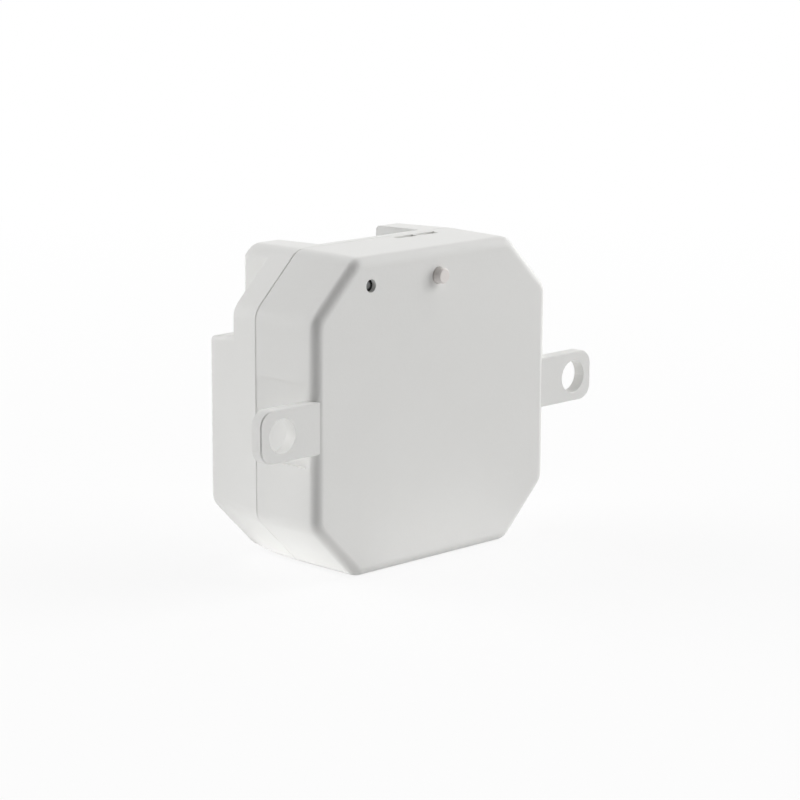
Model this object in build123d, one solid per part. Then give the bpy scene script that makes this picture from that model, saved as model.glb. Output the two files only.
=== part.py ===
from build123d import *
import math
import os

# Radio heating receiver for a round wall box, about 68 x 47 x 24 mm.
# All sizes are in millimetres. While it is modelled, Y = 0 is the front panel, +Y runs into
# the wall box, X = 0 and Z = 0 are the middle of the panel, and +Z is up.
# The finished pieces are moved together, so that the origin is under the middle of the
# bounding box and the module stands on its flat lower facet at Z = 0.

# Joined features run into each other by the overlap, and cutters run past what they open
overlap = 0.1
beyond = 1.0
same_plane = 0.01

# Outer form of the housing
body_width = 47.6
body_height = 46.4
corner_leg = 8.2
corner_radius = 3.0
front_edge_radius = 1.5
front_depth = 12.3
step_depth = 17.4
total_depth = 23.2
front_draft = 0.25
rear_draft = 0.35
top_front_draft = 0.05
top_rear_draft = 0.19
block_lift = 0.55
parting_chamfer = 0.12
rear_edge_radius = 0.7

# Walls
side_wall = 1.8
panel_wall = 1.8
rear_wall = 1.3
lip_length = 1.4
lip_thickness = 0.8
lip_clearance = 0.1

# Mounting ears
ear_hole_spacing = 60.0
ear_hole_diameter = 5.0
ear_span = 68.0
ear_height = 7.6
ear_tip_radius = 2.2
ear_thickness = 1.9
ear_setback = 0.1
ear_edge_bevel = 0.15
relief_height = 12.0
relief_front_depth = 0.45
relief_rear_depth = 0.12

# Raised rear: a full-width lower block and two towers beside the terminal bay
lower_block_drop = 12.3
lower_block_slope = 0.8
tower_inset = 6.6

# Button and indicator
button_x = 0.5
indicator_inset = 10.7
control_drop = 4.1
button_diameter = 2.3
button_gap = 0.1
button_projection = 1.2
button_edge_bevel = 0.2
button_flange_diameter = 4.0
button_flange_thickness = 0.8
button_rest_gap = 0.15
indicator_hole_diameter = 1.9
guide_gap = 0.05
guide_recess = 0.7
guide_foot_width = 3.4
guide_foot_thickness = 0.9
guide_led_gap = 0.2

# Circuit board and its supports
board_front = 9.4
board_thickness = 1.6
board_edge_gap = 0.5
board_hook_gap = 0.35
rib_inset = 7.6
rib_span = 3.8
rib_thickness = 0.9
rib_gap = 0.1
pin_diameter = 1.8
pin_clearance = 0.15
pin_setback = 0.2

# Snap hooks that hold the shells together
hook_corner_gap = 2.0
hook_width = 4.0
hook_length = 4.0
hook_thickness = 0.9
hook_barb = 0.45
hook_barb_start = 0.2
hook_barb_length = 1.2
hook_clearance = 0.25
hook_root = 1.2

# Two short blind slots in the top wall, in front of the parting line
slot_width = 4.0
slot_length = 1.4
slot_depth = 0.6
slot_setback = 1.2
slot_places = [4.0, 8.4]

# Terminal block and the bay that its wires lie in
terminal_count = 4
terminal_pitch = 5.0
terminal_centre_x = 0.0
terminal_height = 10.6
terminal_depth = 8.1
terminal_drop = 4.2
terminal_gap = 0.3
terminal_edge = 0.3
entry_width = 3.4
entry_low = 1.5
entry_high = 4.6
channel_floor = 13.9
ramp_length = 2.4
ramp_drop = 1.4

# Rising cages, clamping screws and contact bars, with heights above the board
cage_width = 3.6
cage_depth = 4.2
cage_floor = 0.9
cage_floor_thickness = 0.7
cage_window = 3.8
cage_side = 0.6
cage_top_thickness = 0.9
cage_clearance = 0.2
screw_diameter = 2.4
screw_clearance = 0.05
screw_head_diameter = 3.5
screw_head_height = 1.5
screw_head_gap = 0.05
screw_slot_width = 0.6
screw_slot_depth = 0.7
screw_head_bevel = 0.2
screw_well_clearance = 0.2
shelf_low = 7.7
shelf_thickness = 0.6
bar_width = 2.0
bar_thickness = 0.6
bar_low = 4.5
bar_wall = 0.5
bar_clearance = 0.05
bar_tip_gap = 0.08
bar_pin_width = 0.9
bar_pin_tail = 1.0
bar_board_gap = 0.1

# Tactile switch behind the button
switch_width = 6.0
switch_depth = 3.4
switch_base_height = 3.4
switch_cover_thickness = 0.3
switch_plunger_diameter = 2.0
switch_plunger_clearance = 0.08
switch_plunger_gap = 0.03
switch_foot_diameter = 2.5
switch_foot_length = 1.0
switch_foot_gap = 0.2
switch_well_floor = 0.8

# Soldered parts on the board: length along X, width along Z and height along Y
lead_width = 0.6
lead_hole_clearance = 0.1
lead_tail = 1.2
seat_gap = 0.3
moulded_bevel = 0.4
relay_side_gap = 2.65
relay_bay_gap = 1.9
relay_length = 20.0
relay_width = 12.4
relay_roof_gap = 1.4
relay_wall = 0.7
relay_base_gap = 0.1
relay_base_height = 1.2
relay_pin_width = 0.8
relay_pin_thickness = 0.5
relay_pin_edge_x = 2.0
relay_pin_edge_z = 1.6
relay_common_reach = 10.0
relay_contact_reach = 15.6
film_relay_gap = 2.0
film_bay_gap = 2.9
film_length = 13.0
film_width = 6.0
film_roof_gap = 1.3
film_lead_pitch = 10.0
can_relay_shift = 2.0
can_relay_gap = 2.6
can_diameter = 8.0
can_roof_gap = 1.6
can_lead_pitch = 3.5
chip_standoff = 0.1
chip_bevel = 0.2
chip_leg_reach = 0.9
rectifier_x = 11.0
rectifier_z = -6.6
rectifier_length = 4.7
rectifier_width = 3.9
rectifier_height = 2.4
rectifier_leg_pitch = 2.54
regulator_x = 4.6
regulator_z = -15.2
regulator_length = 6.5
regulator_width = 3.5
regulator_height = 1.6
regulator_leg_pitch = 2.3
controller_crystal_gap = 1.55
controller_z = -1.7
controller_length = 6.5
controller_width = 4.4
controller_height = 1.1
controller_leg_pitch = 0.65
led_length = 2.0
led_width = 1.2
led_height = 0.8
crystal_side_gap = 7.25
crystal_z = -1.7
crystal_length = 3.2
crystal_width = 2.5
crystal_height = 0.8
radio_length = 13.0
radio_width = 11.0
radio_board_height = 0.8
shield_length = 11.0
shield_width = 8.6
shield_height = 1.9
shield_sheet = 0.3
shield_corner = 0.5
antenna_sheet = 0.4
antenna_width = 2.0
antenna_lift = 1.6
antenna_bend = 2.5
antenna_foot = 1.4
antenna_rib_gap = 0.7
antenna_wall_gap = 2.2
antenna_radio_gap = 0.5
antenna_shield_gap = 0.7
antenna_start_rise = 5.8
antenna_end_x = -1.0

# Planes and places worked out from the sizes above
half_width = body_width / 2
half_height = body_height / 2
parting_half_width = half_width + front_draft
inner_half_width = parting_half_width - side_wall
block_root = step_depth - rear_wall
roof = total_depth - rear_wall
lower_block_top = half_height - lower_block_drop
tower_half_width = half_width - tower_inset
control_z = half_height - control_drop
indicator_x = indicator_inset - half_width
rib_x = half_width - rib_inset
rib_z = half_height - rib_inset
hook_z = half_height - corner_leg - hook_corner_gap - hook_width / 2
board_rear = board_front + board_thickness
terminal_rear = board_rear + terminal_height
terminal_upper_z = half_height - terminal_drop
terminal_lower_z = terminal_upper_z - terminal_depth
terminal_middle_z = terminal_upper_z - terminal_depth / 2
terminal_left = terminal_centre_x - terminal_count * terminal_pitch / 2
terminal_right = terminal_centre_x + terminal_count * terminal_pitch / 2
bay_underside = terminal_lower_z - terminal_gap - rear_wall
relay_x = relay_side_gap - inner_half_width + relay_length / 2
relay_z = bay_underside - relay_bay_gap - relay_width / 2
film_x = relay_x + relay_length / 2 + film_relay_gap + film_length / 2
film_z = bay_underside - film_bay_gap - film_width / 2
can_x = relay_x + can_relay_shift
can_z = relay_z - relay_width / 2 - can_relay_gap - can_diameter / 2
antenna_x = rib_x - rib_span / 2 - antenna_rib_gap - antenna_sheet / 2
antenna_high_z = rib_z - rib_span / 2 - antenna_rib_gap - antenna_sheet / 2
antenna_low_z = side_wall + antenna_wall_gap + antenna_sheet / 2 - half_height
radio_x = antenna_x - antenna_sheet / 2 - antenna_radio_gap - radio_length / 2
radio_z = antenna_low_z + antenna_sheet / 2 + antenna_shield_gap + shield_width / 2
antenna_start_z = radio_z + antenna_start_rise
crystal_x = inner_half_width - crystal_side_gap - crystal_length / 2
controller_x = crystal_x - crystal_length / 2 - controller_crystal_gap - controller_length / 2
plunger_tip = panel_wall + button_rest_gap + button_flange_thickness + switch_plunger_gap
switch_front = board_front - switch_base_height
shift = Location((0, (button_projection - total_depth) / 2, half_height))


def save(name, shape):
    export_step(shift * shape, f"parts/{name}.step")


def slab(y_low, y_high, sketch):
    """A prism along Y over a sketch whose x is X and whose y is Z."""
    drawing = Plane(origin=(0, y_low, 0), x_dir=(1, 0, 0), z_dir=(0, -1, 0))
    return extrude(drawing * sketch, amount=y_high - y_low, dir=(0, 1, 0))


def slab_x(x_low, x_high, sketch):
    """A prism along X over a sketch whose x is Y and whose y is Z."""
    drawing = Plane(origin=(x_low, 0, 0), x_dir=(0, 1, 0), z_dir=(1, 0, 0))
    return extrude(drawing * sketch, amount=x_high - x_low, dir=(1, 0, 0))


def slab_z(z_low, z_high, sketch):
    """A prism along Z over a sketch in X and Y."""
    return extrude(Pos(0, 0, z_low) * sketch, amount=z_high - z_low, dir=(0, 0, 1))


def brick(x, y, z):
    """A box from three pairs of limits, each in either order."""
    size = [abs(b - a) for a, b in (x, y, z)]
    middle = [(a + b) / 2 for a, b in (x, y, z)]
    return Pos(*middle) * Box(*size)


def around(middle, width):
    return (middle - width / 2, middle + width / 2)


def rod(x, z, y_low, y_high, diameter):
    """A cylinder along Y."""
    return slab(y_low, y_high, Pos(x, z) * Circle(diameter / 2))


def mirrored(shape, side):
    """The shape as drawn on the right, or its mirror image on the left."""
    return shape if side > 0 else shape.mirror(Plane.YZ)


def flat_face(points):
    return Face(Wire.make_polygon([Vector(*point) for point in points], close=True))


def drafted(y_low, low, y_high, high):
    """A body with flat leaning sides between two outlines, each a list of X and Z corners."""
    near = [(x, y_low, z) for x, z in low]
    far = [(x, y_high, z) for x, z in high]
    faces = [flat_face(near), flat_face(far)]
    for index in range(len(near)):
        before = index - 1
        faces.append(flat_face([near[before], near[index], far[index], far[before]]))
    return Solid(Shell(faces))


def rim_at(solid, y):
    return solid.edges().filter_by_position(Axis.Y, y - same_plane, y + same_plane)


def depth_edges(solid):
    """The corner edges along the depth, which lean only by the draft."""
    return solid.edges().filter_by(lambda edge: abs((edge % 0.5).Y) > 0.9)


def leaning(y, outwards, inwards):
    """How far a wall stands out at a depth: it leans outwards to the parting line, then inwards."""
    if y <= front_depth:
        return outwards * y / front_depth
    return outwards - inwards * (y - front_depth) / (step_depth - front_depth)


def side_at(y):
    return half_width + leaning(y, front_draft, rear_draft)


def top_at(y):
    return half_height + leaning(y, top_front_draft, top_rear_draft)


def bottom_at(y):
    """The lower facet is level back to the step and rises behind it."""
    return half_height - block_lift * max(0, y - step_depth) / (total_depth - step_depth)


def octagon_corners(y, inset=0.0):
    """The housing's outline at a depth, set in by a wall all round."""
    side = side_at(y) - inset
    top = top_at(y) - inset
    bottom = bottom_at(y) - inset
    leg = corner_leg - inset * (2 - math.sqrt(2))
    right = [(side - leg, -bottom), (side, leg - bottom), (side, top - leg), (side - leg, top)]
    left = [(-x, z) for x, z in reversed(right)]
    return right + left


def octagon(y, inset):
    return Polygon(*octagon_corners(y, inset), align=None)


def ear():
    """The right mounting ear: a flat tab with a rounded end and a screw hole."""
    root = half_width - side_wall / 2
    tip = ear_span / 2
    rear = ear_setback + ear_thickness
    tab = slab(ear_setback, rear, Pos((root + tip) / 2, 0) * Rectangle(tip - root, ear_height))
    tab = fillet(tab.edges().filter_by(Axis.Y).group_by(Axis.X)[-1], ear_tip_radius)
    rims = [edge for edge in rim_at(tab, ear_setback) if edge.center().X > root + ear_edge_bevel]
    tab = chamfer(rims, ear_edge_bevel)
    return tab - rod(ear_hole_spacing / 2, 0, -beyond, rear + beyond, ear_hole_diameter)


def ear_relief():
    """The shallow relief in the right side wall, from the ear back to the parting line."""
    outside = half_width + beyond
    front = ear_setback + ear_thickness
    points = [
        (outside, front),
        (half_width - relief_front_depth, front),
        (parting_half_width - relief_rear_depth, front_depth),
        (outside, front_depth),
    ]
    return slab_z(-relief_height / 2, relief_height / 2, Polygon(*points, align=None))


def hook_pocket(side_x, side_z):
    """The recess in a side wall that a snap hook springs into."""
    barb_front = front_depth - hook_length + hook_barb_start
    return brick(
        (side_x * (inner_half_width - overlap), side_x * (inner_half_width + hook_barb + hook_clearance)),
        (barb_front - hook_clearance, barb_front + hook_barb_length + hook_clearance),
        around(side_z * hook_z, hook_width + 2 * hook_clearance),
    )


def corners():
    """The four quarters of the housing, as signs of X and Z."""
    return [(side_x, side_z) for side_x in (-1, 1) for side_z in (-1, 1)]


def crossed_ribs(side_x, side_z, depth):
    """Two crossed ribs in one quarter of a shell, between which the board is held."""
    x = side_x * rib_x
    z = side_z * rib_z
    flat = brick(around(x, rib_span), depth, around(z, rib_thickness))
    return flat + brick(around(x, rib_thickness), depth, around(z, rib_span))


def pin_places():
    """The two opposite crosses of ribs whose pins locate the board, as X and Z."""
    return [(-rib_x, rib_z), (rib_x, -rib_z)]


def front_shell():
    """Front half: panel, side walls, ears, board ribs and the button and indicator holes."""
    shell = drafted(0, octagon_corners(0), front_depth, octagon_corners(front_depth))
    shell = fillet(depth_edges(shell), corner_radius)
    shell = fillet(rim_at(shell, 0), front_edge_radius)
    shell = chamfer(rim_at(shell, front_depth), parting_chamfer)
    for side in (-1, 1):
        shell = shell + mirrored(ear(), side) - mirrored(ear_relief(), side)
    cavity = drafted(
        panel_wall,
        octagon_corners(panel_wall, side_wall),
        front_depth,
        octagon_corners(front_depth, side_wall),
    )
    rebate = side_wall - lip_thickness - lip_clearance
    rebate_front = front_depth - lip_length - lip_clearance
    shell = shell - cavity - slab(rebate_front, front_depth, octagon(front_depth, rebate))
    for side_x, side_z in corners():
        shell = shell + crossed_ribs(side_x, side_z, (panel_wall - overlap, board_front))
        shell = shell - hook_pocket(side_x, side_z)
    for x, z in pin_places():
        shell = shell + rod(x, z, board_front - overlap, board_rear - pin_setback, pin_diameter)
    button_hole = button_diameter + 2 * button_gap
    shell = shell - rod(button_x, control_z, -beyond, panel_wall + overlap, button_hole)
    shell = shell - rod(indicator_x, control_z, -beyond, panel_wall + overlap, indicator_hole_diameter)
    top = half_height + top_front_draft
    slot_rear = front_depth - slot_setback
    for x in slot_places:
        slot = brick(
            around(x, slot_width), (slot_rear - slot_length, slot_rear), (top - slot_depth, top + beyond)
        )
        shell = shell - slot
    return shell


def raised_corners(y):
    """Outline of the raised rear: a full-width lower block under the narrower towers."""
    side = side_at(y)
    top = top_at(y)
    slope = (y - step_depth) / (total_depth - step_depth)
    block_top = lower_block_top - lower_block_slope * slope
    bottom = bottom_at(y)
    tower = side - tower_inset
    right = [
        (side - corner_leg, -bottom),
        (side, corner_leg - bottom),
        (side, block_top),
        (tower, block_top),
        (tower, side + top - corner_leg - tower),
        (side - corner_leg, top),
    ]
    left = [(-x, z) for x, z in reversed(right)]
    return right + left


def beside_tower(point):
    return abs(abs(point.X) - tower_half_width) < beyond


def near_block_top(point):
    return abs(point.Z - lower_block_top) < beyond


def rear_outside():
    """The rear half's outer form: a drafted octagon with the stepped block on it."""
    step_corners = octagon_corners(step_depth)
    outside = drafted(front_depth, octagon_corners(front_depth), step_depth, step_corners)
    outside = outside + drafted(
        step_depth, raised_corners(step_depth), total_depth, raised_corners(total_depth)
    )
    octagon_edges = [
        edge
        for edge in depth_edges(outside)
        if not beside_tower(edge.center()) and not near_block_top(edge.center())
    ]
    outside = fillet(octagon_edges, corner_radius)
    tower_and_block_edges = [
        edge
        for edge in depth_edges(outside)
        if beside_tower(edge.center()) != near_block_top(edge.center())
    ]
    outside = fillet(tower_and_block_edges + rim_at(outside, total_depth), rear_edge_radius)
    return chamfer(rim_at(outside, front_depth), parting_chamfer)


def channel_profile(forward):
    """Side view of the wire channel over the terminal block, its floor moved forward."""
    low_z = terminal_upper_z + terminal_gap
    floor = channel_floor - forward
    return Polygon(
        (floor - ramp_drop, low_z),
        (floor, low_z + ramp_length),
        (floor, half_height + beyond),
        (total_depth + beyond, half_height + beyond),
        (total_depth + beyond, low_z),
        align=None,
    )


def terminal_bay(grow):
    """The open bay for the terminal block and its wires, or, grown, the bay with its walls."""
    left = terminal_left - terminal_gap - grow
    right = terminal_right + terminal_gap + grow
    block = brick(
        (left, right),
        (board_rear, total_depth + beyond),
        (terminal_lower_z - terminal_gap - grow, terminal_upper_z + terminal_gap),
    )
    return slab_x(left, right, channel_profile(grow)) + block


def rear_cavity():
    """The hollow inside the rear half, before the bay's walls are left standing in it."""
    shallow = drafted(
        front_depth,
        octagon_corners(front_depth, side_wall),
        block_root,
        octagon_corners(step_depth, side_wall),
    )
    block_top = lower_block_top - lower_block_slope - rear_wall
    lower = Pos(0, block_top) * Rectangle(2 * body_width, body_height, align=(Align.CENTER, Align.MAX))
    tower_inside = side_at(total_depth) - tower_inset - side_wall
    upper = Rectangle(2 * tower_inside, 2 * body_height)
    outline = octagon(total_depth, side_wall) & (lower + upper)
    return shallow + slab(block_root - overlap, roof, outline)


def snap_hook(side_z):
    """A right-hand flexible arm, with a barb that springs into the front shell's pocket."""
    outer = inner_half_width - lip_clearance
    tip = front_depth - hook_length
    barb_front = tip + hook_barb_start
    barb_rear = barb_front + hook_barb_length
    root = front_depth + hook_root
    points = [
        (outer - hook_thickness, root),
        (outer - hook_thickness, tip),
        (outer - hook_barb / 2, tip),
        (outer + hook_barb, barb_rear - hook_barb),
        (outer + hook_barb, barb_rear),
        (outer, barb_rear),
        (outer, front_depth - lip_length),
        (inner_half_width + hook_barb, front_depth - lip_length),
        (inner_half_width + hook_barb, root),
    ]
    low_z, high_z = around(side_z * hook_z, hook_width)
    return slab_z(low_z, high_z, Polygon(*points, align=None))


def rear_shell():
    """Rear half: stepped cover with the terminal bay, locating lip, snap hooks and board ribs."""
    shell = rear_outside() - (rear_cavity() - terminal_bay(rear_wall)) - terminal_bay(0)
    ramp = slab_x(
        terminal_left - terminal_gap - rear_wall,
        terminal_right + terminal_gap + rear_wall,
        channel_profile(rear_wall),
    )
    kept_depth = (0, front_depth + overlap)
    ramp = ramp & brick((-body_width, body_width), kept_depth, (0, half_height - side_wall))
    shell = shell + (ramp - terminal_bay(0))
    ring = octagon(front_depth, side_wall - lip_thickness) - octagon(front_depth, side_wall)
    shell = shell + slab(front_depth - lip_length, front_depth + rear_wall, ring)
    for side_x, side_z in corners():
        shell = shell + mirrored(snap_hook(side_z), side_x)
        wall_depth = step_depth if side_z > 0 else total_depth
        depth = (board_rear + rib_gap, wall_depth - rear_wall + overlap)
        shell = shell + crossed_ribs(side_x, side_z, depth)
    return shell


def push_button():
    """Round button with a flange that keeps it behind the panel."""
    flange_front = panel_wall + button_rest_gap
    cap = rod(button_x, control_z, -button_projection, flange_front + overlap, button_diameter)
    cap = chamfer(rim_at(cap, -button_projection), button_edge_bevel)
    flange_rear = flange_front + button_flange_thickness
    return cap + rod(button_x, control_z, flange_front, flange_rear, button_flange_diameter)


def light_guide():
    """Clear rod that carries the light from the board to the panel, on a square foot."""
    tip_diameter = indicator_hole_diameter - 2 * guide_gap
    rear = board_front - led_height - guide_led_gap
    guide = rod(indicator_x, control_z, guide_recess, rear, tip_diameter)
    foot = brick(
        around(indicator_x, guide_foot_width),
        (panel_wall, panel_wall + guide_foot_thickness),
        around(control_z, guide_foot_width),
    )
    return guide + foot


def switch_base():
    """Moulded switch body soldered flat on the board, with a well for the plunger's foot."""
    base = brick(
        around(button_x, switch_width), (switch_front, board_front), around(control_z, switch_depth)
    )
    well = switch_foot_diameter + 2 * switch_foot_gap
    return base - rod(button_x, control_z, switch_front - beyond, board_front - switch_well_floor, well)


def switch_cover():
    """Sheet frame on the front of the switch body, with the plunger's guide hole."""
    plate = brick(
        around(button_x, switch_width),
        (switch_front - switch_cover_thickness, switch_front),
        around(control_z, switch_depth),
    )
    hole = switch_plunger_diameter + 2 * switch_plunger_clearance
    return plate - rod(button_x, control_z, 0, board_front, hole)


def switch_plunger():
    """Plunger that the button pushes, with a wider foot under the cover."""
    foot_front = switch_front + switch_foot_gap
    foot_rear = foot_front + switch_foot_length
    stem = rod(button_x, control_z, plunger_tip, foot_rear, switch_plunger_diameter)
    return stem + rod(button_x, control_z, foot_front, foot_rear, switch_foot_diameter)


def rear_leads(shape, places, top):
    """The shape with a square lead at each place, from a height on it through the board."""
    for x, z in places:
        depth = (board_front - lead_tail, top)
        shape = shape + brick(around(x, lead_width), depth, around(z, lead_width))
    return shape


def relay_pins():
    """Two coil pins at the left end, then the common and the switched pin, as X and Z."""
    left = relay_x - relay_length / 2 + relay_pin_edge_x
    low = relay_z - relay_width / 2 + relay_pin_edge_z
    high = relay_z + relay_width / 2 - relay_pin_edge_z
    return [(left, low), (left, high), (left + relay_common_reach, low), (left + relay_contact_reach, high)]


def film_pins():
    return [(film_x - film_lead_pitch / 2, film_z), (film_x + film_lead_pitch / 2, film_z)]


def can_pins():
    return [(can_x, can_z - can_lead_pitch / 2), (can_x, can_z + can_lead_pitch / 2)]


def terminal_places():
    """X of each terminal, from left to right."""
    first = terminal_left + terminal_pitch / 2
    return [first + terminal_pitch * index for index in range(terminal_count)]


def bar_leg_z():
    """Z of the middle of a contact bar's leg in the block's back wall."""
    return terminal_lower_z + bar_wall + bar_thickness / 2


def circuit_board():
    """Board following the housing inside, with holes for the pins and every soldered lead."""
    outline = octagon(0, side_wall + board_edge_gap)
    width = 2 * (inner_half_width - lip_clearance - hook_thickness - board_hook_gap)
    board = slab(board_front, board_rear, outline & Rectangle(width, body_height))
    through = (board_front - beyond, board_rear + beyond)
    for x, z in pin_places():
        board = board - rod(x, z, *through, pin_diameter + 2 * pin_clearance)
    pins = [(x, z, lead_width, lead_width) for x, z in film_pins() + can_pins()]
    pins = pins + [(x, z, relay_pin_width, relay_pin_thickness) for x, z in relay_pins()]
    pins = pins + [(x, bar_leg_z(), bar_pin_width, bar_thickness) for x in terminal_places()]
    spare = 2 * lead_hole_clearance
    for x, z, width, thickness in pins:
        board = board - brick(around(x, width + spare), through, around(z, thickness + spare))
    return board


def front_box(x, z, length, width, height, base=board_front):
    """A plain box standing forward from the board's front."""
    return brick(around(x, length), (base - height, base), around(z, width))


def status_led():
    return front_box(indicator_x, control_z, led_length, led_width, led_height)


def relay_cover():
    """Moulded relay cover, open towards the board."""
    low = board_rear + seat_gap
    top = roof - relay_roof_gap
    cover = brick(around(relay_x, relay_length), (low, top), around(relay_z, relay_width))
    cover = chamfer(cover.edges().filter_by(Axis.Y) + rim_at(cover, top), moulded_bevel)
    hollow = brick(
        around(relay_x, relay_length - 2 * relay_wall),
        (low - beyond, top - relay_wall),
        around(relay_z, relay_width - 2 * relay_wall),
    )
    return cover - hollow


def relay_base():
    """Relay base plate with its flat pins, closing the cover."""
    inset = 2 * (relay_wall + relay_base_gap)
    low = board_rear + seat_gap
    base = brick(
        around(relay_x, relay_length - inset),
        (low, low + relay_base_height),
        around(relay_z, relay_width - inset),
    )
    for x, z in relay_pins():
        depth = (board_front - lead_tail, low + overlap)
        base = base + brick(around(x, relay_pin_width), depth, around(z, relay_pin_thickness))
    return base


def film_capacitor():
    """Boxed film capacitor with two leads."""
    low = board_rear + seat_gap
    top = roof - film_roof_gap
    box = brick(around(film_x, film_length), (low, top), around(film_z, film_width))
    box = chamfer(box.edges().filter_by(Axis.Y) + rim_at(box, top), moulded_bevel)
    return rear_leads(box, film_pins(), low + overlap)


def electrolytic_capacitor():
    """Round can standing on two leads."""
    low = board_rear + seat_gap
    can = rod(can_x, can_z, low, roof - can_roof_gap, can_diameter)
    return rear_leads(can, can_pins(), low + overlap)


def legged_chip(x, z, length, width, height, out, legs, leg_pitch):
    """A moulded chip with a row of legs along each long side; out is 1 behind the board."""
    face = board_rear if out > 0 else board_front
    far = face + out * height
    package = brick(around(x, length), (face + out * chip_standoff, far), around(z, width))
    package = chamfer(rim_at(package, far), chip_bevel)
    first = x - leg_pitch * (legs - 1) / 2
    for side in (-1, 1):
        inner = z + side * (width / 2 - overlap)
        outer = z + side * (width / 2 + chip_leg_reach)
        for index in range(legs):
            leg = brick(
                around(first + index * leg_pitch, leg_pitch / 2),
                (face, face + out * height / 2),
                (inner, outer),
            )
            package = package + leg
    return package


def bridge_rectifier():
    size = (rectifier_length, rectifier_width, rectifier_height)
    return legged_chip(rectifier_x, rectifier_z, *size, 1, 2, rectifier_leg_pitch)


def voltage_regulator():
    size = (regulator_length, regulator_width, regulator_height)
    return legged_chip(regulator_x, regulator_z, *size, 1, 3, regulator_leg_pitch)


def microcontroller():
    size = (controller_length, controller_width, controller_height)
    return legged_chip(controller_x, controller_z, *size, -1, 7, controller_leg_pitch)


def crystal():
    return front_box(crystal_x, crystal_z, crystal_length, crystal_width, crystal_height)


def radio_board():
    return front_box(radio_x, radio_z, radio_length, radio_width, radio_board_height)


def radio_shield():
    """Folded sheet cover over the radio circuit, open towards its board."""
    base = board_front - radio_board_height
    can = front_box(radio_x, radio_z, shield_length, shield_width, shield_height, base)
    can = chamfer(can.edges().filter_by(Axis.Y), shield_corner)
    inside = front_box(
        radio_x,
        radio_z,
        shield_length - 2 * shield_sheet,
        shield_width - 2 * shield_sheet,
        shield_height - shield_sheet,
        base,
    )
    return can - inside


def antenna_strip():
    """Quarter-wave strip on edge in front of the board, round three of its sides, on a foot."""
    points = [
        (antenna_x, antenna_start_z),
        (antenna_x, antenna_low_z),
        (-antenna_x, antenna_low_z),
        (-antenna_x, antenna_high_z),
        (antenna_end_x, antenna_high_z),
    ]
    route = FilletPolyline(*points, radius=antenna_bend)
    print("antenna strip length", round(route.length, 1))
    rear = board_front - antenna_lift
    strip = slab(rear - antenna_width, rear, trace(route, antenna_sheet))
    foot = brick(
        around(antenna_x, antenna_sheet),
        (rear - overlap, board_front),
        (antenna_start_z - antenna_foot, antenna_start_z),
    )
    return strip + foot


def terminal_housing():
    """Moulded block with a cage well, a screw well and a wire entry for each terminal."""
    block = brick(
        (terminal_left, terminal_right),
        (board_rear, terminal_rear),
        (terminal_lower_z, terminal_upper_z),
    )
    block = chamfer(rim_at(block, terminal_rear), terminal_edge)
    leg_z = bar_leg_z()
    for x in terminal_places():
        cage_well = brick(
            around(x, cage_width + 2 * cage_clearance),
            (board_rear - beyond, board_rear + shelf_low),
            around(terminal_middle_z, cage_depth + 2 * cage_clearance),
        )
        entry = brick(
            around(x, entry_width),
            (board_rear + entry_low, board_rear + entry_high),
            (terminal_middle_z, terminal_upper_z + beyond),
        )
        bar_slot = brick(
            around(x, bar_width + 2 * bar_clearance),
            (board_rear - beyond, board_rear + bar_low + bar_thickness + bar_clearance),
            (leg_z - bar_thickness / 2 - bar_clearance, terminal_middle_z),
        )
        head_well = screw_head_diameter + 2 * screw_well_clearance
        shank_hole = screw_diameter + 2 * screw_well_clearance
        shelf_top = board_rear + shelf_low + shelf_thickness
        block = block - cage_well - entry - bar_slot
        block = block - rod(x, terminal_middle_z, board_rear + shelf_low - overlap, shelf_top, shank_hole)
        block = block - rod(x, terminal_middle_z, shelf_top, terminal_rear + beyond, head_well)
    return block


def terminal_bars():
    """One bent contact bar for each terminal: clamping tongue, leg and solder pin."""
    leg_z = bar_leg_z()
    top = board_rear + bar_low + bar_thickness
    tongue_end = terminal_middle_z + cage_depth / 2
    bars = []
    for x in terminal_places():
        tongue = brick(
            around(x, bar_width), (board_rear + bar_low, top), (leg_z - bar_thickness / 2, tongue_end)
        )
        leg = brick(around(x, bar_width), (board_rear + bar_board_gap, top), around(leg_z, bar_thickness))
        pin = brick(
            around(x, bar_pin_width),
            (board_front - bar_pin_tail, board_rear + bar_board_gap + overlap),
            around(leg_z, bar_thickness),
        )
        bars.append(tongue + leg + pin)
    return Part() + bars


def terminal_cage(x):
    """Rising cage: a box open along Z, tapped in its rear wall for the clamping screw."""
    window_low = board_rear + cage_floor + cage_floor_thickness
    window_high = window_low + cage_window
    top = window_high + cage_top_thickness
    cage = brick(
        around(x, cage_width),
        (board_rear + cage_floor, top),
        around(terminal_middle_z, cage_depth),
    )
    cage = cage - brick(
        around(x, cage_width - 2 * cage_side),
        (window_low, window_high),
        around(terminal_middle_z, cage_depth + 2 * beyond),
    )
    tapped = screw_diameter + 2 * screw_clearance
    return cage - rod(x, terminal_middle_z, window_high - overlap, top + beyond, tapped)


def terminal_screw(x):
    """Slotted clamping screw: its tip bears on the contact bar and its head on the shelf."""
    tip = board_rear + bar_low + bar_thickness + bar_tip_gap
    head_low = board_rear + shelf_low + shelf_thickness + screw_head_gap
    head_top = head_low + screw_head_height
    shank = rod(x, terminal_middle_z, tip, head_low + overlap, screw_diameter)
    head = rod(x, terminal_middle_z, head_low, head_top, screw_head_diameter)
    head = chamfer(rim_at(head, head_top), screw_head_bevel)
    slot = brick(
        around(x, screw_head_diameter + 2 * beyond),
        (head_top - screw_slot_depth, head_top + beyond),
        around(terminal_middle_z, screw_slot_width),
    )
    return shank + head - slot


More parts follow.
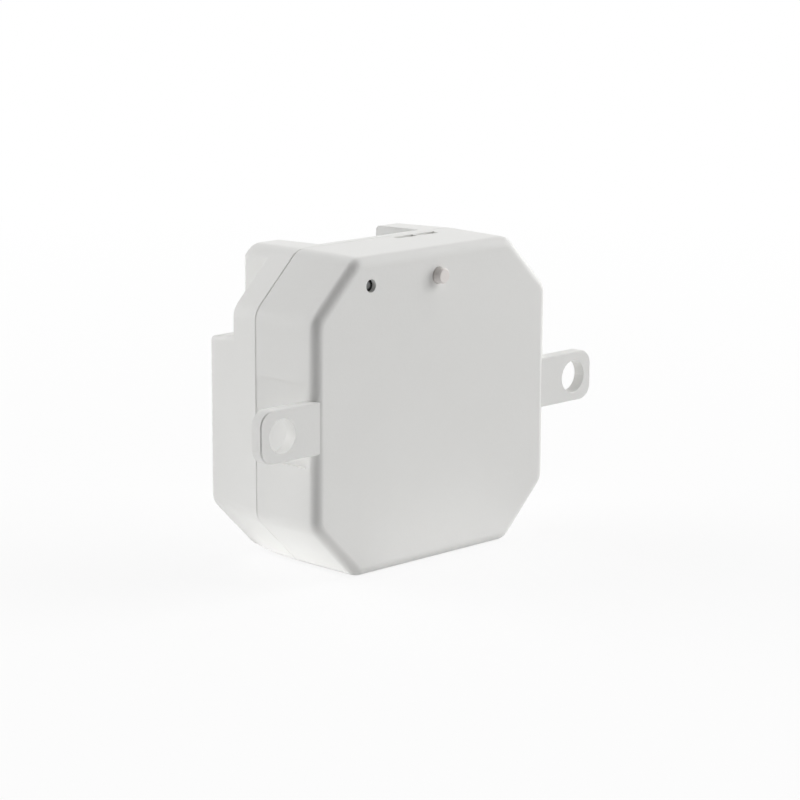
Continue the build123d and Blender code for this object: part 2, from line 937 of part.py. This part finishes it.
os.makedirs("parts", exist_ok=True)
save("front_shell", front_shell())
save("rear_shell", rear_shell())
save("push_button", push_button())
save("light_guide", light_guide())
save("circuit_board", circuit_board())
save("switch_base", switch_base())
save("switch_cover", switch_cover())
save("switch_plunger", switch_plunger())
save("status_led", status_led())
save("relay_cover", relay_cover())
save("relay_base", relay_base())
save("film_capacitor", film_capacitor())
save("electrolytic_capacitor", electrolytic_capacitor())
save("bridge_rectifier", bridge_rectifier())
save("voltage_regulator", voltage_regulator())
save("microcontroller", microcontroller())
save("crystal", crystal())
save("radio_board", radio_board())
save("radio_shield", radio_shield())
save("antenna_strip", antenna_strip())
save("terminal_housing", terminal_housing())
save("terminal_bars", terminal_bars())
for index, place in enumerate(terminal_places()):
    save(f"terminal_cage_{index + 1}", terminal_cage(place))
    save(f"terminal_screw_{index + 1}", terminal_screw(place))
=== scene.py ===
import math

import bpy
from mathutils import Matrix, Vector


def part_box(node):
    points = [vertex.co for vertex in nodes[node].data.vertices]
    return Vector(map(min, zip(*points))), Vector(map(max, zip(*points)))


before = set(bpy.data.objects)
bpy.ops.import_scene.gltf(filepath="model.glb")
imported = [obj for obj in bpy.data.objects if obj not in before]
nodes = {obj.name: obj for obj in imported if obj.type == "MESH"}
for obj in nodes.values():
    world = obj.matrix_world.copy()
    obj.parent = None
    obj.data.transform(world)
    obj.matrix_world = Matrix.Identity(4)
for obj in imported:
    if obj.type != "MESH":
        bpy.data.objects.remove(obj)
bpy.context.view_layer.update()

# Front shell: the front half of the housing with its two ears, moulded in off-white plastic.
# The mould's fine spark-eroded finish leaves the faces satin, with a slight unevenness of
# gloss where the plastic has flowed.


class Wire:
    """A shader node's output, with arithmetic that adds Math nodes."""

    def __init__(self, tree, socket):
        self.tree = tree
        self.socket = socket

    def add(self, kind, settings=None, inputs=None, output=0):
        """Adds a node of a kind, with its settings first and then its inputs' values or wires."""
        node = self.tree.nodes.new(kind)
        for name, value in (settings or {}).items():
            if name == "stops":
                ramp = node.color_ramp
                while len(ramp.elements) < len(value):
                    ramp.elements.new(1.0)
                for element, (place, grey) in zip(ramp.elements, value):
                    element.position = place
                    element.color = (grey, grey, grey, 1.0)
            else:
                setattr(node, name, value)
        for name, value in (inputs or {}).items():
            if isinstance(value, Wire):
                self.tree.links.new(value.socket, node.inputs[name])
            else:
                node.inputs[name].default_value = value
        return Wire(self.tree, node.outputs[output])

    def maths(self, operation, first, second):
        return self.add("ShaderNodeMath", {"operation": operation}, {0: first, 1: second})

    def __add__(self, other):
        return self.maths("ADD", self, other)

    __radd__ = __add__

    def __sub__(self, other):
        return self.maths("SUBTRACT", self, other)

    def __rsub__(self, other):
        return self.maths("SUBTRACT", other, self)

    def __mul__(self, other):
        return self.maths("MULTIPLY", self, other)

    __rmul__ = __mul__


def finish(name, constants):
    """A new material, its shader with the constants set on it, and a wire of its coordinates."""
    material = bpy.data.materials.new(name)
    material.use_nodes = True
    tree = material.node_tree
    shader = tree.nodes["Principled BSDF"]
    for socket, value in constants.items():
        shader.inputs[socket].default_value = value
    coordinates = tree.nodes.new("ShaderNodeTexCoord")
    return material, shader, Wire(tree, coordinates.outputs["Object"])


def noise(place, scale, detail=2.0, roughness=0.5):
    """Noise from 0 to 1, with a scale in features per metre."""
    inputs = {"Vector": place, "Scale": scale, "Detail": detail, "Roughness": roughness}
    return place.add("ShaderNodeTexNoise", None, inputs)


def between(amount, low, high):
    """The colour between two colours that an amount from 0 to 1 picks."""
    inputs = {"Factor": amount, "A": (*low, 1.0), "B": (*high, 1.0)}
    return amount.add("ShaderNodeMix", {"data_type": "RGBA"}, inputs, 2)


def bump(height, strength, distance):
    inputs = {"Strength": strength, "Distance": distance, "Height": height}
    return height.add("ShaderNodeBump", None, inputs)


def connect(wire, shader, socket):
    wire.tree.links.new(wire.socket, shader.inputs[socket])


def moulded_plastic(name, dark, light, roughness, grain, grain_depth):
    """Moulded plastic: flow marks in colour and gloss, and the mould's fine grain as bumps."""
    flow_scale = 90.0
    flow_share = 0.7
    flow_roughness = 0.10
    grain_roughness = 0.06
    grain_strength = 0.35
    material, shader, place = finish(name, {"IOR": 1.5, "Specular IOR Level": 0.5})
    flow = noise(place, flow_scale, 3.0)
    speckle = noise(place, grain, 3.0, 0.6)
    marks = flow * flow_share + speckle * (1.0 - flow_share)
    connect(between(marks, dark, light), shader, "Base Color")
    uneven = roughness + (flow - 0.5) * flow_roughness + (speckle - 0.5) * grain_roughness
    connect(uneven, shader, "Roughness")
    connect(bump(speckle, grain_strength, grain_depth), shader, "Normal")
    return material


def dress(material, *names):
    """Gives CAD nodes a finish in place of the plain one they came with."""
    for name in names:
        for place in nodes[name].material_slots:
            place.material = material


shell_dark = (0.785, 0.783, 0.765)
shell_light = (0.825, 0.823, 0.808)
shell_plastic = moulded_plastic("shell_plastic", shell_dark, shell_light, 0.46, 2600.0, 0.00003)
dress(shell_plastic, "front_shell")

# Light guide: a clear moulded rod behind the indicator's hole, frosted inside so that the lamp's
# light spreads over its tip.
# Round its rim its colour is darkened to painted shade, which stands in for the dark inside of the
# housing.
guide_clear, guide_shader, guide_place = finish(
    "guide_clear", {"IOR": 1.49, "Transmission Weight": 0.35, "Specular IOR Level": 0.5}
)
guide_frost = (0.50, 0.51, 0.51)
guide_rim_painted_shade = (0.010, 0.010, 0.011)
tip_radius = 0.00040
rim_radius = 0.00058
guide_haze = noise(guide_place, 1800.0, 3.0)
guide_low, guide_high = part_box("light_guide")
to_axis = (-(guide_low[0] + guide_high[0]) / 2, 0.0, -(guide_low[2] + guide_high[2]) / 2)
from_axis = guide_place.add(
    "ShaderNodeMapping",
    None,
    {"Vector": guide_place, "Location": to_axis, "Scale": (1.0, 0.0, 1.0)},
)
guide_radius = from_axis.add("ShaderNodeVectorMath", {"operation": "LENGTH"}, {0: from_axis}, 1)
guide_tip = guide_radius.add(
    "ShaderNodeMapRange",
    None,
    {
        "Value": guide_radius,
        "From Min": tip_radius,
        "From Max": rim_radius,
        "To Min": 1.0,
        "To Max": 0.0,
    },
)
# From the tip out to the rim the colour fades into painted shade, the near-black of the unlit
# housing inside.
guide_colour = between((0.6 + guide_haze * 0.4) * guide_tip, guide_rim_painted_shade, guide_frost)
connect(guide_colour, guide_shader, "Base Color")
connect(0.18 + guide_haze * 0.12, guide_shader, "Roughness")
dress(guide_clear, "light_guide")

# Button: a small cap of the same white plastic in a slightly warmer batch, smoother on top
# where a fingertip or a pen presses it. Its flange behind the panel keeps it in its hole.
button_dark = (0.80, 0.76, 0.73)
button_light = (0.84, 0.80, 0.78)
button_plastic = moulded_plastic("button_plastic", button_dark, button_light, 0.38, 3200.0, 0.00002)
dress(button_plastic, "push_button")

# Circuit board: glass laminate under green solder mask, with the copper's edges just raised
# under it and the weave of the glass showing through.
mask_dark = (0.012, 0.075, 0.030)
mask_light = (0.030, 0.150, 0.060)
track_share = 0.7
board_laminate, board_shader, board_place = finish(
    "board_laminate", {"IOR": 1.5, "Coat Weight": 0.3}
)
glass_weave = board_place.add(
    "ShaderNodeTexWave",
    {"wave_type": "BANDS", "bands_direction": "DIAGONAL"},
    {"Vector": board_place, "Scale": 900.0, "Distortion": 1.0},
)
copper_edge = board_place.add(
    "ShaderNodeTexVoronoi",
    {"feature": "DISTANCE_TO_EDGE"},
    {"Vector": board_place, "Scale": 260.0},
)
track = copper_edge.add(
    "ShaderNodeValToRGB", {"stops": [(0.08, 0.0), (0.14, 1.0)]}, {"Fac": copper_edge}
)
mask_marks = track * track_share + glass_weave * (1.0 - track_share)
connect(between(mask_marks, mask_dark, mask_light), board_shader, "Base Color")
connect(0.32 + glass_weave * 0.08, board_shader, "Roughness")
connect(bump(track, 0.3, 0.00004), board_shader, "Normal")
dress(board_laminate, "circuit_board")

# Tactile switch: a black moulded base and plunger under a tinned sheet cover, soldered to
# the board behind the button.


def plated_metal(name, dark, light, roughness, grain):
    """Plated metal: cloudy plating over the rolled sheet's fine lines."""
    cloud_scale = 350.0
    cloud_share = 0.6
    cloud_roughness = 0.12
    line_roughness = 0.08
    line_stretch = (1.0, 1.0, 14.0)
    line_strength = 0.15
    line_depth = 0.00001
    material, shader, place = finish(name, {"Metallic": 1.0})
    cloud = noise(place, cloud_scale, 4.0, 0.6)
    stretched = place.add("ShaderNodeMapping", None, {"Vector": place, "Scale": line_stretch})
    lines = noise(stretched, grain, 2.0)
    marks = cloud * cloud_share + lines * (1.0 - cloud_share)
    connect(between(marks, dark, light), shader, "Base Color")
    uneven = roughness + cloud * cloud_roughness + (lines - 0.5) * line_roughness
    connect(uneven, shader, "Roughness")
    connect(bump(lines, line_strength, line_depth), shader, "Normal")
    return material


epoxy_dark = (0.012, 0.012, 0.013)
epoxy_light = (0.030, 0.030, 0.031)
black_plastic = moulded_plastic("black_plastic", epoxy_dark, epoxy_light, 0.55, 3000.0, 0.00002)
tin_dark = (0.50, 0.50, 0.49)
tin_light = (0.68, 0.68, 0.66)
sheet_metal = plated_metal("sheet_metal", tin_dark, tin_light, 0.25, 1200.0)
dress(black_plastic, "switch_base", "switch_plunger")
dress(sheet_metal, "switch_cover")

# Status lamp: a small chip under pale yellow resin, soldered to the board behind the light
# guide's foot.
resin_dark = (0.62, 0.58, 0.36)
resin_light = (0.74, 0.71, 0.50)
led_body = moulded_plastic("led_body", resin_dark, resin_light, 0.22, 2500.0, 0.00001)
dress(led_body, "status_led")

# Relay: a smooth black cover glued on a duller moulded base, whose pins go through the board.
cover_dark = (0.018, 0.020, 0.023)
cover_light = (0.034, 0.037, 0.041)
relay_plastic = moulded_plastic("relay_plastic", cover_dark, cover_light, 0.36, 1500.0, 0.00002)
base_dark = (0.020, 0.020, 0.022)
base_light = (0.045, 0.045, 0.048)
relay_base_plastic = moulded_plastic(
    "relay_base_plastic", base_dark, base_light, 0.6, 1500.0, 0.00003
)
dress(relay_plastic, "relay_cover")
dress(relay_base_plastic, "relay_base")

# Capacitors of the power supply: a film capacitor in a yellow moulded box, and an
# electrolytic capacitor in a can with a dark blue shrunk sleeve.
box_dark = (0.48, 0.39, 0.13)
box_light = (0.60, 0.50, 0.19)
capacitor_plastic = moulded_plastic("capacitor_plastic", box_dark, box_light, 0.42, 1400.0, 0.00002)
dress(capacitor_plastic, "film_capacitor")
sleeve_dark = (0.010, 0.012, 0.022)
sleeve_light = (0.020, 0.024, 0.040)
can_sleeve = moulded_plastic("can_sleeve", sleeve_dark, sleeve_light, 0.3, 900.0, 0.00002)
dress(can_sleeve, "electrolytic_capacitor")

# Chips: the bridge rectifier, the voltage regulator and the microcontroller are moulded in
# the same black epoxy as the switch's base. The crystal is sealed in a tinned can.
dress(black_plastic, "bridge_rectifier", "voltage_regulator", "microcontroller")
dress(sheet_metal, "crystal")

# Radio: a small board of the same laminate with a tinned shield over its circuit, and a
# plated brass strip as antenna.
brass_dark = (0.50, 0.38, 0.17)
brass_light = (0.70, 0.55, 0.28)
antenna_metal = plated_metal("antenna_metal", brass_dark, brass_light, 0.28, 1000.0)
dress(board_laminate, "radio_board")
dress(sheet_metal, "radio_shield")
dress(antenna_metal, "antenna_strip")

# Terminal block: grey moulded nylon that stands in the rear bay, with a well for each screw
# and an entry for each wire.
nylon_dark = (0.30, 0.31, 0.315)
nylon_light = (0.38, 0.39, 0.395)
terminal_plastic = moulded_plastic(
    "terminal_plastic", nylon_dark, nylon_light, 0.44, 2200.0, 0.00003
)
dress(terminal_plastic, "terminal_housing")

# Contacts: tinned brass bars that stand still, and zinc-plated steel cages that the
# zinc-plated screws draw up against them to clamp the wires.
terminal_count = 4
bar_dark = (0.50, 0.47, 0.38)
bar_light = (0.68, 0.64, 0.54)
tinned_brass = plated_metal("tinned_brass", bar_dark, bar_light, 0.30, 1000.0)
cage_dark = (0.46, 0.46, 0.45)
cage_light = (0.66, 0.66, 0.65)
cage_steel = plated_metal("cage_steel", cage_dark, cage_light, 0.30, 900.0)
screw_dark = (0.52, 0.52, 0.52)
screw_light = (0.72, 0.72, 0.73)
screw_steel = plated_metal("screw_steel", screw_dark, screw_light, 0.24, 900.0)
dress(tinned_brass, "terminal_bars")
for number in range(1, terminal_count + 1):
    dress(cage_steel, f"terminal_cage_{number}")
    dress(screw_steel, f"terminal_screw_{number}")

# Rear shell: the rear half of the housing, moulded in the same off-white plastic and snapped
# into the front shell, with two towers beside the terminal bay.
dress(shell_plastic, "rear_shell")

# Floor: a wide sheet of white paper. For the rays that show it to the camera, in a
# reflection or through glass it is nearly plain white, and wholly so away from the module,
# so that a trace of the module's soft shadow stays.
floor_size = 3.2
floor_drop = 0.00005
paper_dark = (0.86, 0.86, 0.86)
paper_light = (0.88, 0.88, 0.88)
white = (1.0, 1.0, 1.0, 1.0)
near_edge = 0.06
far_edge = 0.35
near_whiteness = 0.88


def shows_surface(tree):
    """1 for a ray that shows a surface to the camera, in a reflection or through glass, else 0."""
    rays = tree.nodes.new("ShaderNodeLightPath")
    seen = Wire(tree, rays.outputs["Is Camera Ray"]) + Wire(tree, rays.outputs["Is Glossy Ray"])
    return seen + Wire(tree, rays.outputs["Is Transmission Ray"])


bpy.ops.object.select_all(action="DESELECT")
bpy.ops.mesh.primitive_plane_add(size=floor_size, location=(0.0, 0.0, -floor_drop))
floor = bpy.context.object
floor.name = "floor"
paper, paper_shader, paper_place = finish("paper", {"Roughness": 0.9, "Specular IOR Level": 0.1})
paper_mottle = noise(paper_place, 40.0)
connect(between(paper_mottle, paper_dark, paper_light), paper_shader, "Base Color")
away = paper_place.add("ShaderNodeVectorMath", {"operation": "LENGTH"}, {0: paper_place}, 1)
fading = away.add(
    "ShaderNodeMapRange",
    None,
    {
        "Value": away,
        "From Min": near_edge,
        "From Max": far_edge,
        "To Min": near_whiteness,
        "To Max": 1.0,
    },
)
whiteness = shows_surface(paper.node_tree) * fading
plain_white = away.add("ShaderNodeEmission", None, {"Color": white, "Strength": 1.0})
lit_paper = Wire(paper.node_tree, paper_shader.outputs["BSDF"])
paper_mix = away.add("ShaderNodeMixShader", None, {0: whiteness, 1: lit_paper, 2: plain_white})
connect(paper_mix, paper.node_tree.nodes["Material Output"], "Surface")
floor.data.materials.append(paper)

# Camera: a long lens at the photograph's angle, found by fitting the module's edges. It
# looks past the middle of the module's panel by a few millimetres.
look_azimuth = math.radians(-44.605)
look_elevation = math.radians(12.072)
look_roll = math.radians(0.248)
look_distance = 0.400
aim_right = -0.005189
aim_up = 0.000706
panel_middle = Vector((0.0, -0.011, 0.0232))
lens = 123.44
sensor_width = 36.0


def direction(azimuth, elevation):
    """The direction from the module, in radians, where azimuth 0 is straight ahead of the panel."""
    level = math.cos(elevation)
    return Vector((math.sin(azimuth) * level, -math.cos(azimuth) * level, math.sin(elevation)))


back = direction(look_azimuth, look_elevation)
level_right = Vector((math.cos(look_azimuth), math.sin(look_azimuth), 0.0))
level_up = back.cross(level_right)
right = level_right * math.cos(look_roll) + level_up * math.sin(look_roll)
up = level_up * math.cos(look_roll) - level_right * math.sin(look_roll)
bpy.ops.object.camera_add()
camera = bpy.context.object
camera.name = "camera"
camera.data.lens = lens
camera.data.sensor_width = sensor_width
camera.data.clip_start = 0.01
camera.data.clip_end = 20.0
position = panel_middle + right * aim_right + up * aim_up + back * look_distance
turn = Matrix((right, up, back)).transposed()
camera.matrix_world = Matrix.Translation(position) @ turn.to_4x4()
bpy.context.scene.camera = camera

# Studio: low and high soft boxes behind the module on its left and in front of it on its right
# leave the side towards the camera darker, which shades the edges that face it. Two small
# glowing cards on the floor fill the lower left chamfer and the lower front edge.
box_distance = 1.1
box_side = 0.8
card_height = 0.0005


def area_lamp(name, location, width, depth, power):
    """A rectangular lamp that lights the module and that no reflection shows."""
    bpy.ops.object.light_add(type="AREA", location=location)
    lamp = bpy.context.object
    lamp.name = name
    lamp.data.shape = "RECTANGLE"
    lamp.data.size = width
    lamp.data.size_y = depth
    lamp.data.energy = power
    lamp.visible_glossy = False
    return lamp


def soft_box(name, azimuth, elevation, power):
    """A square lamp that faces the module from a direction given in degrees."""
    towards = direction(math.radians(azimuth), math.radians(elevation))
    lamp = area_lamp(name, panel_middle + towards * box_distance, box_side, box_side, power)
    lamp.rotation_euler = towards.to_track_quat("Z", "Y").to_euler()


def floor_card(name, x, y, width, depth, power):
    """A small lamp that lies on the floor, faces up and doesn't show."""
    card = area_lamp(name, (x, y, card_height), width, depth, power)
    card.rotation_euler = (math.pi, 0.0, 0.0)
    card.visible_camera = False


soft_box("left_side_box", -120.0, 8.0, 1.2)
soft_box("left_box", -150.0, 8.0, 7.6)
soft_box("left_high_box", -150.0, 35.0, 5.4)
soft_box("right_box", 60.0, 8.0, 7.8)
soft_box("right_high_box", 60.0, 35.0, 5.7)
soft_box("right_top_box", 90.0, 62.0, 3.7)
floor_card("chamfer_card", -0.028, 0.0, 0.024, 0.020, 0.0008)
floor_card("edge_card", 0.002, -0.020, 0.030, 0.016, 0.0005)

# Room: white wherever a ray shows it, like the paper. It gives no light of its own, so that
# the lamps alone shade the module.
world = bpy.data.worlds.new("white_room")
world.use_nodes = True
bpy.context.scene.world = world
room = world.node_tree
dark_room = room.nodes["Background"]
dark_room.inputs["Color"].default_value = white
dark_room.inputs["Strength"].default_value = 0.0
seen = shows_surface(room)
unseen_room = Wire(room, dark_room.outputs["Background"])
seen_room = seen.add("ShaderNodeBackground", None, {"Color": white, "Strength": 1.0})
room_mix = seen.add("ShaderNodeMixShader", None, {0: seen, 1: unseen_room, 2: seen_room})
connect(room_mix, room.nodes["World Output"], "Surface")

bpy.context.scene.view_settings.view_transform = "Standard"
